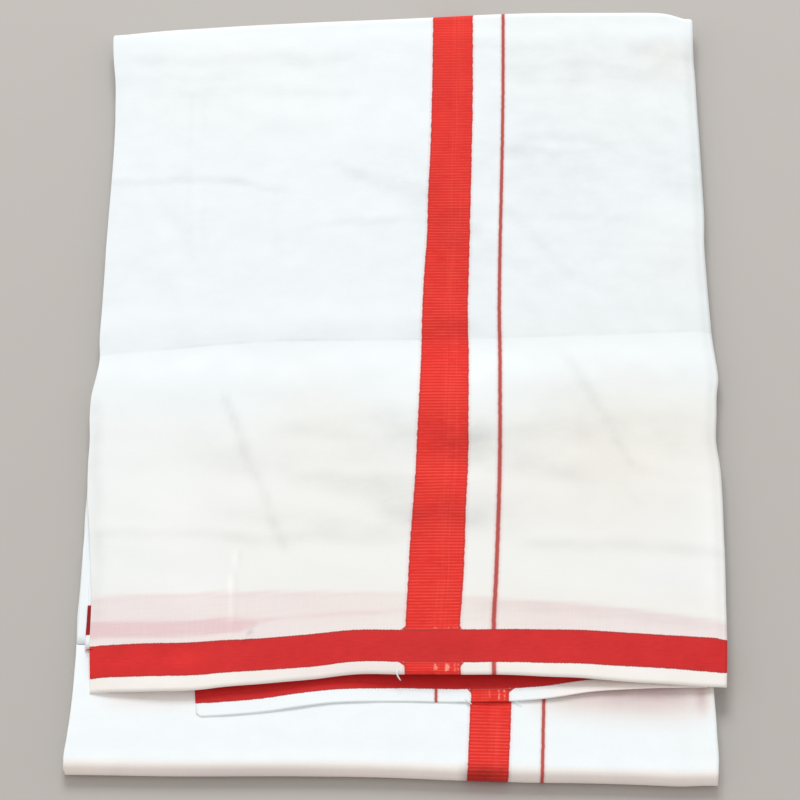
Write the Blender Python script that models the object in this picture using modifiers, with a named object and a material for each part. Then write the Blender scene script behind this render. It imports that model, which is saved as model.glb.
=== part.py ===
# A cotton dhoti: one woven length of cloth, pleated lengthwise into panels, folded across
# in three and laid flat. Nothing is sewn on it, and its borders and stripes are woven in.
#
# Units are metres. +X runs across the panel, +Y from the front fold to the back fold and
# +Z up. The origin is under the middle of the folded cloth, on the surface it rests on.
#
# The outermost layer of cloth runs the whole way round the stack: from the selvedge of the
# upper leaf over the back fold, forward along the underside, round the front fold and back
# on top as the lower leaf. The second leaf is the innermost layer, which sticks out in
# front. The layers between are one rounded solid with layered sides.

from collections import namedtuple

import bmesh
import bpy
import numpy as np

# Driving sizes
WALL = 0.0012  # thickness of one modelled leaf
GAP = 0.0003  # air left between pieces that lie on each other
FOLD_HEIGHT = 0.0110  # height of the rounded front fold
PACK_HEIGHT = 0.0132  # height of the whole stack under the upper leaf
SELVEDGE_REST = 0.0145  # height of the upper leaf's front edge where it lies over both others
ARCH_LIFT = 0.0045  # how far the middle of that edge stands above its ends
SEAM_LEFT = 0.2620  # y of the seam underneath between the upper and the lower leaf, at x = -0.2
SEAM_RIGHT = 0.2860  # and at x = 0.2
HIDDEN_TAIL = -0.2120  # y where the leaves that run in under the upper leaf stop
STEP_FRONT = -0.2100  # y of the front of the hidden layers above the lower leaf
STEP_RUN = 0.006  # length of the slope of that front
CREASE_DEPTH = 0.0012  # packing crease across the upper leaf
CREASE_WIDTH = 0.0045
SHOULDER_RISE = 0.0011  # soft swelling along each side of the crease
SHOULDER_AWAY = 0.012
SHOULDER_WIDTH = 0.009
LOW_CORNER = 0.0009  # how much lower the upper leaf's front left corner lies, with one leaf less under it
LEFT_ROUND = 0.0008  # drop of the upper leaf's folded left edge
RIGHT_DROOP = 0.0030  # drop of its cut right end, which overhangs the stack
RIGHT_DROOP_RUN = 0.007
SLACK = 0.0012  # room for the troughs of the upper leaf over the hidden layers
LAYER_GROOVE = 0.0016  # depth of the grooves between layers in the stack's sides
LAYER_INSET = 0.0012  # how far the hidden layers stay inside the plan of the stack
SHOULDER_DROP = 0.0008  # rounding of the topmost hidden layer at the sides

WHITE = (0.90, 0.91, 0.91, 1.0)
WHITE_SHADED = (0.84, 0.84, 0.83, 1.0)
WHITE_WARM = (0.88, 0.87, 0.85, 1.0)

PlanRow = namedtuple("PlanRow", "y left right")
EdgeRow = namedtuple("EdgeRow", "x y")
HeightRow = namedtuple("HeightRow", "y z")
FoldRow = namedtuple("FoldRow", "x0 y0 x1 y1 rise width")
LayerRow = namedtuple("LayerRow", "left right")

# Plan of the upper leaf: where its sides are, from its front edge to the back fold.
UPPER_PLAN = [
    PlanRow(-0.249, -0.1916, 0.2015),
    PlanRow(-0.216, -0.1925, 0.2021),
    PlanRow(-0.181, -0.1942, 0.2032),
    PlanRow(-0.120, -0.1985, 0.2045),
    PlanRow(-0.065, -0.2000, 0.2030),
    PlanRow(-0.030, -0.2000, 0.2022),
    PlanRow(-0.003, -0.1993, 0.2055),
    PlanRow(0.012, -0.1962, 0.2046),
    PlanRow(0.030, -0.1962, 0.2034),
    PlanRow(0.066, -0.1954, 0.2010),
    PlanRow(0.125, -0.1942, 0.2012),
    PlanRow(0.176, -0.1930, 0.2002),
    PlanRow(0.235, -0.1936, 0.1985),
    PlanRow(0.310, -0.1962, 0.2005),
]

# Front edge of the upper leaf, its woven selvedge.
UPPER_FRONT = [
    EdgeRow(-0.192, -0.2490),
    EdgeRow(-0.126, -0.2480),
    EdgeRow(-0.058, -0.2430),
    EdgeRow(-0.027, -0.2402),
    EdgeRow(0.059, -0.2400),
    EdgeRow(0.104, -0.2410),
    EdgeRow(0.148, -0.2430),
    EdgeRow(0.178, -0.2450),
    EdgeRow(0.202, -0.2462),
]

# Outermost line of the back fold.
BACK_FOLD = [
    EdgeRow(-0.198, 0.2790),
    EdgeRow(-0.188, 0.2880),
    EdgeRow(-0.153, 0.2930),
    EdgeRow(-0.117, 0.2962),
    EdgeRow(-0.065, 0.2992),
    EdgeRow(0.000, 0.3032),
    EdgeRow(0.052, 0.3062),
    EdgeRow(0.110, 0.3082),
    EdgeRow(0.164, 0.3092),
    EdgeRow(0.188, 0.3086),
    EdgeRow(0.201, 0.3030),
]

# Height of the upper leaf's top along the stack, before creases.
UPPER_HEIGHT = [
    HeightRow(-0.249, SELVEDGE_REST),
    HeightRow(-0.205, SELVEDGE_REST),
    HeightRow(-0.160, PACK_HEIGHT + 0.0004),
    HeightRow(-0.080, PACK_HEIGHT - 0.0004),
    HeightRow(0.020, PACK_HEIGHT - 0.0002),
    HeightRow(0.120, PACK_HEIGHT - 0.0010),
    HeightRow(0.200, PACK_HEIGHT - 0.0012),
    HeightRow(0.245, PACK_HEIGHT - 0.0004),
    HeightRow(0.275, PACK_HEIGHT + 0.0008),
    HeightRow(0.310, PACK_HEIGHT + 0.0006),
]

# Line of the packing crease across the upper leaf.
CREASE_LINE = [
    EdgeRow(-0.196, 0.0118),
    EdgeRow(-0.163, 0.0150),
    EdgeRow(-0.098, 0.0215),
    EdgeRow(0.008, 0.0240),
    EdgeRow(0.065, 0.0256),
    EdgeRow(0.130, 0.0280),
    EdgeRow(0.204, 0.0313),
]

# The largest soft folds of the upper leaf: ridges rise and troughs fall.
UPPER_FOLDS = [
    FoldRow(-0.036, 0.271, -0.005, 0.188, -0.0007, 0.0070),
    FoldRow(-0.022, 0.271, 0.008, 0.192, 0.0008, 0.0080),
    FoldRow(-0.190, 0.159, -0.083, 0.148, -0.0006, 0.0060),
    FoldRow(-0.165, 0.133, -0.134, 0.027, 0.0007, 0.0070),
    FoldRow(0.073, 0.129, 0.110, 0.082, -0.0009, 0.0060),
    FoldRow(0.084, 0.124, 0.100, 0.048, 0.0008, 0.0070),
    FoldRow(-0.114, -0.027, -0.075, -0.125, 0.0012, 0.0065),
    FoldRow(-0.056, -0.080, 0.006, -0.088, -0.0008, 0.0060),
    FoldRow(-0.100, -0.144, -0.106, -0.202, 0.0010, 0.0045),
    FoldRow(0.108, 0.008, 0.146, -0.073, 0.0012, 0.0070),
    FoldRow(0.146, -0.073, 0.186, -0.084, 0.0007, 0.0060),
    FoldRow(0.077, -0.061, 0.116, -0.084, -0.0007, 0.0070),
    FoldRow(0.088, -0.130, 0.133, -0.143, -0.0006, 0.0060),
]

# Plan of the stack under the upper leaf, down to the front fold.
PACK_PLAN = [
    PlanRow(-0.310, -0.2034, 0.1938),
    PlanRow(-0.297, -0.2060, 0.1948),
    PlanRow(-0.286, -0.2056, 0.1950),
    PlanRow(-0.276, -0.2036, 0.1940),
    PlanRow(-0.250, -0.2020, 0.1937),
    PlanRow(-0.200, -0.2010, 0.1942),
    PlanRow(-0.110, -0.2004, 0.1955),
    PlanRow(-0.020, -0.1992, 0.1962),
    PlanRow(0.080, -0.1948, 0.1962),
    PlanRow(0.200, -0.1928, 0.1955),
    PlanRow(0.270, -0.1910, 0.1935),
    PlanRow(0.292, -0.1815, 0.1885),
    PlanRow(0.310, -0.1660, 0.1770),
]

# Outermost line of the front fold.
FRONT_FOLD = [
    EdgeRow(-0.205, -0.3000),
    EdgeRow(-0.122, -0.3008),
    EdgeRow(0.000, -0.3010),
    EdgeRow(0.040, -0.3022),
    EdgeRow(0.103, -0.3052),
    EdgeRow(0.161, -0.3090),
    EdgeRow(0.194, -0.3094),
]

# Front edge of the second leaf, its woven selvedge.
SECOND_FRONT = [
    EdgeRow(-0.126, -0.2660),
    EdgeRow(-0.104, -0.2652),
    EdgeRow(-0.082, -0.2630),
    EdgeRow(-0.068, -0.2595),
    EdgeRow(-0.046, -0.2560),
    EdgeRow(0.000, -0.2545),
    EdgeRow(0.043, -0.2552),
    EdgeRow(0.071, -0.2545),
    EdgeRow(0.089, -0.2530),
    EdgeRow(0.118, -0.2485),
    EdgeRow(0.141, -0.2470),
    EdgeRow(0.190, -0.2450),
]
SECOND_LEFT_FRONT = -0.1255  # its cut end, at the front edge and where it runs in
SECOND_LEFT_BACK = -0.1285
SECOND_RIGHT = 0.1900
SECOND_LIFT = 0.0012  # how far its edge curls up off the lower leaf
SECOND_LIFT_RUN = 0.010

# How far each hidden layer's edge stands out of the stack's side, from the bottom up.
LAYER_EDGES = [
    LayerRow(0.0004, 0.0002),
    LayerRow(0.0000, -0.0012),
    LayerRow(-0.0008, 0.0004),
    LayerRow(0.0001, -0.0004),
    LayerRow(-0.0030, 0.0008),
    LayerRow(-0.0022, 0.0002),
]
FLAT_POINTS = 11  # points of a hidden ring along its top, and as many along its underside


def between(rows, at, key, value):
    """Smooth curve through a table's rows: cubic pieces whose slope at a row is that of its neighbours."""
    keys = np.array([getattr(row, key) for row in rows])
    values = np.array([getattr(row, value) for row in rows])
    slopes = np.gradient(values, keys)
    at = np.clip(at, keys[0], keys[-1])
    i = np.clip(np.searchsorted(keys, at, side="right") - 1, 0, len(keys) - 2)
    span = keys[i + 1] - keys[i]
    t = (at - keys[i]) / span
    rise = values[i + 1] - values[i]
    bend_start = slopes[i] * span - rise
    bend_end = rise - slopes[i + 1] * span
    return values[i] + rise * t + t * (1 - t) * (bend_start * (1 - t) + bend_end * t)


def soft_step(t):
    """0 below 0, 1 above 1, and a smooth S between."""
    t = np.clip(t, 0.0, 1.0)
    return t * t * (3 - 2 * t)


def fold_relief(x, y, rows):
    """Sum of straight ridges and troughs, each a bell across its line that fades out past its ends."""
    height = np.zeros_like(x)
    for row in rows:
        run = np.array([row.x1 - row.x0, row.y1 - row.y0])
        length = np.hypot(*run)
        along = ((x - row.x0) * run[0] + (y - row.y0) * run[1]) / length
        away = ((y - row.y0) * run[0] - (x - row.x0) * run[1]) / length
        past = np.maximum(np.maximum(-along, along - length), 0.0)
        height += row.rise * np.exp(-(away**2 + past**2) / row.width**2)
    return height


def crease_relief(x, y):
    """Packing crease: a narrow valley between two broad low shoulders."""
    away = y - between(CREASE_LINE, x, "x", "y")
    valley = -CREASE_DEPTH * np.exp(-((away / CREASE_WIDTH) ** 2))
    near = np.exp(-(((away + SHOULDER_AWAY) / SHOULDER_WIDTH) ** 2))
    far = np.exp(-(((away - SHOULDER_AWAY) / SHOULDER_WIDTH) ** 2))
    return valley + SHOULDER_RISE * (near + 0.6 * far)


def front_arch(x, y):
    """Lift of the upper leaf's front edge: a bell across it that dies out towards the back."""
    across = np.exp(-(((x - 0.035) / 0.075) ** 4))
    along = 1 - soft_step((y - between(UPPER_FRONT, x, "x", "y")) / 0.045)
    return ARCH_LIFT * across * along


def smooth_top(x, y):
    """Height of the upper leaf's top face without its crease and folds."""
    corner = LOW_CORNER * np.exp(-(((x + 0.2) / 0.045) ** 2)) * (1 - soft_step((y + 0.249) / 0.03))
    return between(UPPER_HEIGHT, y, "y", "z") + front_arch(x, y) - corner


def seam_line(x):
    """The seam underneath, near the back fold, as y for each x."""
    return SEAM_LEFT + (SEAM_RIGHT - SEAM_LEFT) * (x + 0.2) / 0.4


def upper_top(x, y):
    """Height of the upper leaf's top face, away from its two sides."""
    fade_back = 1 - soft_step((y - between(BACK_FOLD, x, "x", "y") + 0.035) / 0.02)
    return smooth_top(x, y) + fade_back * (crease_relief(x, y) + fold_relief(x, y, UPPER_FOLDS))


def spaced(edge_steps, middle_count):
    """Positions from 0 to 1 across a leaf 0.4 m wide: close together at both sides, even between."""
    steps = np.array(edge_steps) / 0.4
    middle = np.linspace(steps[-1], 1 - steps[-1], middle_count)
    return np.concatenate([steps[:-1], middle, (1 - steps[:-1])[::-1]])


def surface_object(name, points, colour, roughness, collection):
    """An open surface from a grid of points, turned into a cloth wall by Solidify on its inner side."""
    rows, columns = points.shape[:2]
    mesh = bpy.data.meshes.new(name)
    grid = bmesh.new()
    bmesh.ops.create_grid(grid, x_segments=columns - 1, y_segments=rows - 1, size=0.5)
    grid.verts.ensure_lookup_table()
    order = sorted(grid.verts, key=lambda v: (round(v.co.y, 4), round(v.co.x, 4)))
    for vertex, place in zip(order, points.reshape(-1, 3)):
        vertex.co = place
    grid.to_mesh(mesh)
    grid.free()
    mesh.shade_smooth()
    leaf = bpy.data.objects.new(name, mesh)
    wall = leaf.modifiers.new("wall", "SOLIDIFY")
    wall.thickness = WALL
    wall.offset = -1.0
    wall.use_even_offset = True
    leaf.data.materials.append(cloth_material(name, colour, roughness))
    collection.objects.link(leaf)
    return leaf


def ring_object(name, rings, colour, roughness, collection):
    """A closed solid through rings of points, one after another, with a flat cap at each end."""
    mesh = bpy.data.meshes.new(name)
    loft = bmesh.new()
    made = [[loft.verts.new(point) for point in ring] for ring in rings]
    count = len(made[0])
    for ring, following in zip(made, made[1:]):
        for k in range(count):
            after = (k + 1) % count
            loft.faces.new((ring[k], ring[after], following[after], following[k]))
    for ring in (made[0], made[-1]):
        cap_ring(loft, ring)
    bmesh.ops.recalc_face_normals(loft, faces=loft.faces)
    loft.to_mesh(mesh)
    loft.free()
    mesh.shade_smooth()
    mesh.set_sharp_from_angle(angle=np.radians(50))
    solid = bpy.data.objects.new(name, mesh)
    solid.data.materials.append(cloth_material(name, colour, roughness))
    collection.objects.link(solid)
    return solid


def cap_ring(loft, ring):
    """Closes a ring with upright quads between its underside and its top, and a flat face at each side."""
    column = (len(ring) - 2 * FLAT_POINTS) // 2
    under = ring[:FLAT_POINTS]
    over = ring[FLAT_POINTS + column : 2 * FLAT_POINTS + column][::-1]
    for k in range(FLAT_POINTS - 1):
        loft.faces.new((under[k], under[k + 1], over[k + 1], over[k]))
    loft.faces.new([under[-1], *ring[FLAT_POINTS : FLAT_POINTS + column], over[-1]])
    loft.faces.new([over[0], *ring[2 * FLAT_POINTS + column :], under[0]])


def cloth_material(name, colour, roughness):
    material = bpy.data.materials.new(name)
    material.use_nodes = True
    shader = material.node_tree.nodes["Principled BSDF"]
    shader.inputs["Base Color"].default_value = colour
    shader.inputs["Roughness"].default_value = roughness
    shader.inputs["Metallic"].default_value = 0.0
    return material


def upper_leaf_points():
    """Front selvedge, along the top, round the back fold and a little way forward underneath."""
    across = spaced([0.0, 0.0008, 0.0028, 0.0080], 25)
    nominal = -0.1975 + 0.399 * across
    front = between(UPPER_FRONT, nominal, "x", "y")
    back = between(BACK_FOLD, nominal, "x", "y")
    radius = upper_top(nominal, back - 0.008) / 2
    arc_start = back - radius
    rows = []
    for share in np.linspace(0.0, 1.0, 36):
        y = front + (arc_start - front) * share
        left = between(UPPER_PLAN, y, "y", "left")
        right = between(UPPER_PLAN, y, "y", "right")
        x = left + (right - left) * across
        z = upper_top(x, y)
        blend = soft_step((share - 0.94) / 0.06)
        z = z * (1 - blend) + 2 * radius * blend
        round_left = LEFT_ROUND * np.exp(-((x - left) / 0.0016))
        droop = RIGHT_DROOP * soft_step(1 - (right - x) / RIGHT_DROOP_RUN)
        z = z - (round_left + droop) * (1 - blend)
        rows.append(np.stack([x, y, z], axis=1))
    left = between(UPPER_PLAN, arc_start, "y", "left")
    right = between(UPPER_PLAN, arc_start, "y", "right")
    x = left + (right - left) * across
    for angle in np.radians(np.arange(22.5, 180.1, 22.5)):
        y = arc_start + radius * np.sin(angle)
        z = radius * (1 + np.cos(angle))
        rows.append(np.stack([x, y, z], axis=1))
    rows.append(np.stack([x, seam_line(x), np.zeros_like(x)], axis=1))
    return np.array(rows)


def lower_leaf_points():
    """Along the underside from the back seam to the front fold, round it, and back on top under the others."""
    across = spaced([0.0, 0.0030], 23)
    nominal = -0.205 + 0.399 * across
    front = between(FRONT_FOLD, nominal, "x", "y")
    radius = FOLD_HEIGHT / 2
    arc_start = front + radius

    def row(y, z):
        left = between(PACK_PLAN, y, "y", "left")
        right = between(PACK_PLAN, y, "y", "right")
        return np.stack([left + (right - left) * across, y, np.full_like(y, z)], axis=1)

    first_guess = row(seam_line(nominal), 0.0)
    seam = seam_line(first_guess[:, 0]) - GAP
    rows = [row(seam + (arc_start - seam) * share, 0.0) for share in np.linspace(0.0, 1.0, 10)]
    for angle in np.radians(np.arange(22.5, 180.1, 22.5)):
        rows.append(row(arc_start - radius * np.sin(angle), radius * (1 - np.cos(angle))))
    tail = np.full_like(arc_start, HIDDEN_TAIL)
    for share in np.linspace(0.0, 1.0, 9)[1:]:
        rows.append(row(arc_start + (tail - arc_start) * share, FOLD_HEIGHT))
    return np.array(rows)


def second_leaf_points():
    """A strip of the innermost leaf: its selvedge in front and its tail under the upper leaf."""
    across = np.linspace(0.0, 1.0, 25)
    nominal = SECOND_LEFT_FRONT + (SECOND_RIGHT - SECOND_LEFT_FRONT) * across
    front = between(SECOND_FRONT, nominal, "x", "y")
    rest = FOLD_HEIGHT + GAP + WALL
    rows = []
    for share in np.linspace(0.0, 1.0, 8) ** 1.4:
        y = front + (HIDDEN_TAIL - front) * share
        left = SECOND_LEFT_FRONT + (SECOND_LEFT_BACK - SECOND_LEFT_FRONT) * share
        x = left + (SECOND_RIGHT - left) * across
        curl = 1 - soft_step((y - front) / SECOND_LIFT_RUN)
        free = 0.35 + 0.65 * np.exp(-(((x - 0.085) / 0.05) ** 2))
        z = rest + SECOND_LIFT * curl * free * (1 - soft_step((x - 0.115) / 0.03))
        rows.append(np.stack([x, y, z], axis=1))
    return np.array(rows)


def hidden_rings():
    """Rings across the stack, from inside the front fold to inside the back fold."""
    low = WALL + GAP
    front = between(FRONT_FOLD, 0.0, "x", "y") + WALL + 0.0008
    back = between(BACK_FOLD, 0.0, "x", "y") - WALL - 0.0018
    front_nose = FOLD_HEIGHT / 2 - low
    back_nose = front_nose + 0.0010
    step_end = STEP_FRONT + STEP_RUN
    stations = list(front + front_nose * (1 - np.cos(np.radians([15, 40, 65, 90]))))
    stations += list(np.linspace(stations[-1] + 0.014, STEP_FRONT - STEP_RUN, 4))
    stations += [STEP_FRONT, STEP_FRONT + STEP_RUN / 2, step_end]
    stations += list(np.linspace(step_end + 0.012, back - back_nose - 0.010, 17))
    stations += list(back - back_nose * (1 - np.cos(np.radians([90, 60, 35, 12]))))
    rings = []
    for y in stations:
        swell = min(rounding(y - front, front_nose), rounding(back - y, back_nose))
        rings.append(hidden_ring(y, low, swell, (y - front) / (back - front)))
    return rings


def rounding(distance, size):
    """Height of a quarter circle at a distance in from its tip, as a share of its radius."""
    t = np.clip(distance / size, 0.0, 1.0)
    return np.sqrt(1 - (1 - t) ** 2)


def hidden_ring(y, low, swell, share):
    """One ring of the hidden layers, whose plan follows the front fold at the front and the back fold
    at the back. It runs under the stack from left to right, up the right side, back over the top and
    down the left side. Each side is a column of rounded layer edges with grooves between them."""

    def y_at(x):
        at_front = between(FRONT_FOLD, x, "x", "y") - between(FRONT_FOLD, 0.0, "x", "y")
        at_back = between(BACK_FOLD, x, "x", "y") - between(BACK_FOLD, 0.0, "x", "y")
        leave_front = 1 - soft_step((share - 0.03) / 0.09)
        meet_back = soft_step((share - 0.70) / 0.25)
        return y + at_front * leave_front + at_back * meet_back

    def top_at(x):
        under_lower = FOLD_HEIGHT - low
        under_upper = smooth_top(x, y_at(x)) - WALL - GAP - SLACK
        step = soft_step((y - STEP_FRONT) / STEP_RUN)
        return under_lower + (under_upper - under_lower) * step

    def side(edge, sign, reach):
        height = top_at(edge - sign * 0.006) - SHOULDER_DROP
        middle = (low + height) / 2
        bottom = middle - (middle - low) * swell
        layer = (height - low) * swell / len(LAYER_EDGES)
        groove = LAYER_GROOVE * (0.35 + 0.65 * swell)
        column = []
        for k, row in enumerate(LAYER_EDGES):
            out = edge + sign * (getattr(row, reach) - LAYER_INSET)
            for lift, depth in ((0.0, 1.0), (0.22, 0.25), (0.5, 0.0), (0.78, 0.25)):
                column.append((out - sign * groove * depth, bottom + layer * (k + lift)))
        column.append((edge - sign * (LAYER_INSET + groove), bottom + layer * len(LAYER_EDGES)))
        return column

    left = between(PACK_PLAN, y, "y", "left")
    right = between(PACK_PLAN, y, "y", "right")
    across = np.linspace(left + 0.010, right - 0.010, FLAT_POINTS)
    top = top_at(across)
    middle = (low + top) / 2
    ring = list(zip(across, middle - (middle - low) * swell))
    ring += side(right, 1, "right")
    ring += list(zip(across, middle + (top - middle) * swell))[::-1]
    ring += side(left, -1, "left")[::-1]
    return [(x, float(y_at(x)), z) for x, z in ring]


def main():
    for leftover in list(bpy.data.objects):
        bpy.data.objects.remove(leftover)
    dhoti = bpy.data.collections.new("dhoti_cloth")
    bpy.context.scene.collection.children.link(dhoti)
    surface_object("upper_leaf", upper_leaf_points(), WHITE, 0.85, dhoti)
    surface_object("lower_leaf", lower_leaf_points(), WHITE_WARM, 0.85, dhoti)
    surface_object("second_leaf", second_leaf_points(), WHITE_WARM, 0.85, dhoti)
    ring_object("inner_layers", hidden_rings(), WHITE_SHADED, 0.9, dhoti)


main()
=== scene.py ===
import math

import bpy
import numpy as np
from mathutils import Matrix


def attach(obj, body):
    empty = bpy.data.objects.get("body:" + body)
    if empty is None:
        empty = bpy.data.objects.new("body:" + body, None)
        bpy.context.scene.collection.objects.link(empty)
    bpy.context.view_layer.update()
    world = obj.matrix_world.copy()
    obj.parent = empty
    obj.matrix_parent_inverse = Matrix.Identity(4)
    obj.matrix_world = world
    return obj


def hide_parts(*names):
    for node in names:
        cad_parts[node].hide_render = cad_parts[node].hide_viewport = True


# A folded cotton dhoti: one white woven length with red borders and stripes, pleated into nine
# panels, folded across in three like a letter and laid flat.
# +X runs across the panel, +Y to the back fold, +Z up, and the underside rests on z = 0.
# Tables of places and shapes are in millimetres; single values and the looks are in metres.

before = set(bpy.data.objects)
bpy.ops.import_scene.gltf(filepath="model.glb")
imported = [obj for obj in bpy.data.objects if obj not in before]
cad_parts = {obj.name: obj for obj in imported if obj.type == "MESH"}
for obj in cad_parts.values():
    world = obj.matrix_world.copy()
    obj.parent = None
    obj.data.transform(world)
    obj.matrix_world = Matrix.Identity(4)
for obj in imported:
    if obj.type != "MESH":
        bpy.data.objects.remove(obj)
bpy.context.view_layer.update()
print("frame loaded:", sorted(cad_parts))


def millimetres(rows):
    # Lengths written in mm, as metres.
    return np.array(rows) / 1000


stack = {
    "frontFoldHeight": 0.0110,  # rounded fold at the front, all layers together
    "middleFront": 0.0055,  # height of the middle of the stack at the front fold
    "middleBack": 0.0062,  # and from there to the back fold
    "lowerTail": -0.2120,  # y where the layers that come round the front fold end
    # outline of the upper leaf: y, left x, right x
    "upperPlan": millimetres([
        (-249, -191.4, 201.4), (-232, -192, 202.4), (-213, -192.8, 203.3), (-175, -193.2, 204.2),
        (-150, -194.9, 204.8), (-130, -196.4, 204.9), (-100, -198.8, 205.3), (-75, -199.5, 204.7),
        (-57, -199.2, 203.1), (-36, -200, 204.1), (-20, -199.4, 204.9), (-6, -197, 206.5),
        (8, -195.4, 205.5), (24, -196, 204.1), (45, -195.5, 203.1), (78, -194.9, 202.2),
        (106, -194.6, 201.8), (125, -194.1, 202.6), (160, -193.1, 202.4), (190, -192.6, 202.1),
        (225, -193, 201.5), (245, -193.9, 201.3), (262, -195.6, 200.8), (280, -196.4, 200.8),
        (310, -196.4, 201.3),
    ]),
    # outline of everything under it
    "packPlan": millimetres([
        (-312, -202.8, 193.8), (-303, -204.8, 194.4), (-295, -205.7, 194.8), (-280, -204.4, 194.5),
        (-264, -203, 194.3), (-250, -202.2, 193.8), (-235, -201.5, 193.8), (-200, -201.1, 194.2),
        (-160, -200.5, 195), (-110, -199.6, 195.5), (-60, -198.8, 195.8), (-10, -195.8, 196.2),
        (80, -194, 196.2), (200, -192, 195.5), (270, -191, 193.5), (292, -186, 189.5), (310, -178, 180),
    ]),
    # front selvedge of the upper leaf, back fold and front fold: x, y
    "upperFront": millimetres([
        (-192, -248.7), (-160, -249.4), (-126, -248.8), (-110, -246.6), (-90, -244.7), (-58, -240.7),
        (-30, -237.6), (0, -238.6), (20, -238.9), (43, -239.1), (59, -239), (104, -240.5), (148, -244.1),
        (178, -245.3), (202, -245.7),
    ]),
    "backFold": millimetres([
        (-196, 285.8), (-191, 286.2), (-186, 286.6), (-181, 287.3), (-170, 288.7), (-160, 289.9),
        (-151, 290.8), (-137, 291.9), (-124, 293), (-96, 295.2), (-69, 296.9), (-41, 298.6), (-14, 300),
        (14, 301.6), (41, 303.4), (69, 305.2), (96, 306.2), (124, 306.4), (151, 306.5), (178, 306.4),
        (182, 306.2), (186, 305.6), (190, 304.5), (194, 302.9), (199, 300.8),
    ]),
    "frontFold": millimetres([
        (-205, -302.4), (-170, -302.9), (-135, -303.6), (-50, -303.7), (-12, -304.2), (12, -305),
        (37, -306.3), (61, -307.2), (86, -308.1), (120, -308.6), (159, -309.9), (182, -310.9),
        (194, -310.4),
    ]),
    # height of the top along the stack: y, z
    "topHeight": millimetres([
        (-249, 14.5), (-205, 14.5), (-160, 13.6), (-80, 12.8), (20, 13), (120, 12.2), (200, 12),
        (245, 12.8), (275, 14), (310, 13.8),
    ]),
    # parts of the front edge that stand up: middle x, reach, lift, and how far back the lift runs
    "archs": millimetres([(35, 75, 4.5, 45), (-112, 50, 1.9, 50), (140, 40, 2.9, 50)]),
    "lowCorner": 0.0014,  # and its left corner lies lower
}

relief = {
    "creaseLine": millimetres([
        (-196, 11.8), (-163, 15), (-98, 21.5), (8, 24), (65, 25.6), (130, 28), (204, 31.3),
    ]),
    "creaseDepth": 0.0012,
    "creaseBehind": 0.0100,  # how far its slope reaches behind and in front
    "creaseBefore": 0.0210,
    "bending": 0.0012,  # how far folds and painted shade strokes bend away from straight lines
    # soft ridges and troughs of the upper leaf, in mm: x, y of both ends, sideways bow, rise, width; and
    # how much wider the ridge is on its left than on its right, seen from its first end, as a share
    "folds": [
        (-23, 271, 7, 188, 2, 0.8, 7, -0.4), (-165.2, 132.1, -133.7, 26.5, -3, 0.5, 6, 0.3),
        (74.4, 75, 93, 46.9, -2, 0.7, 6, 0.2), (-106, -27.5, -70, -130, 3, 1, 7.5, -0.5),
        (-102.6, -57.7, -25.8, -37.9, 4, 0.4, 9, 0), (-102, -142, -106.8, -208, 2, 0.5, 2.6, 0.2),
        (-88, -201, -92, -212, 0, 0.6, 2.2, 0), (115, 7, 152, -73.4, 3, 1, 7.5, -0.5),
        (146, -73, 190, -84, -2, 0.6, 6, 0),
    ],
    # short soft steps, whose middle slopes down towards the front: x, y of both ends, bow, drop, width
    "steps": millimetres([
        (-170, 261, -40, 264, 1, 0.4, 6), (-155, 247, -120, 248, 0, 0.3, 6),
        (-150, 235, -35, 234, 1, 0.32, 5), (48, 279, 185, 277, 1, 0.45, 5.5),
        (170, 270, 188, 268, 0, 0.45, 6), (85, 245, 130, 244, 1, 0.28, 4.5),
        (-190, 154, -105, 156, 1, 0.45, 4), (-105, 156, -80, 149, 0, 0.3, 4),
        (-30, 164, -8, 150, 1, 0.5, 5.5), (-46, 120, 8, 124, 1, 0.3, 4.5), (95, 196, 140, 190, 1, 0.3, 5),
        (70, 181, 125, 182, -1, 0.3, 5), (95, 126, 150, 125, 1, 0.28, 5), (47, 113, 70, 90, 1, 0.45, 5),
        (73.2, 127.9, 109.5, 80.8, 2, 0.4, 5), (-115, -26, -74, -138, 3, 0.62, 3.2),
        (-56, -86, 5, -88, 1, 0.55, 5), (-60, -52, -25, -56, 0, 0.35, 7), (60, -56, 160, -42, 4, 0.45, 8),
        (60, -80, 120, -86, 2, 0.45, 7), (109, 7, 146, -73.4, 3, 0.5, 3.4),
        (88.1, -137, 200, -144, 3, 0.42, 5.5), (-184.5, -131, -108.7, -131, 2, 0.36, 5),
        (-100, -133, -2.5, -133, -2, 0.3, 6), (8, -60, 42, -64, 1, 0.5, 9),
        (5, -116, 40, -118, 1, 0.5, 10),
    ]),
    "unevenness": 0.00025,  # broad shallow waves all over
    "bands": 0.00010,  # and longer ones lying across the leaf
}


def curveThrough(table, at, column=1):
    # Smooth curve through a table's rows: cubic pieces, each leaving a row at its neighbours' mean slope.
    rows = np.array(table)
    keys, values = rows[:, 0], rows[:, column]
    slopes = np.gradient(values, keys)
    at = np.clip(at, keys[0], keys[-1])
    i = np.clip(np.searchsorted(keys, at, side="right") - 1, 0, len(keys) - 2)
    span = keys[i + 1] - keys[i]
    t = (at - keys[i]) / span
    rise = values[i + 1] - values[i]
    leaving = slopes[i] * span - rise
    arriving = rise - slopes[i + 1] * span
    return values[i] + rise * t + t * (1 - t) * (leaving * (1 - t) + arriving * t)


def softStep(t):
    # 0 below 0, 1 above 1, and 3tt - 2ttt between.
    t = np.clip(t, 0.0, 1.0)
    return t * t * (3 - 2 * t)


def bell(distance, width):
    # 1 on the line, falling off as exp(-(distance / width) squared).
    return np.exp(-((distance / width) ** 2))


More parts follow.
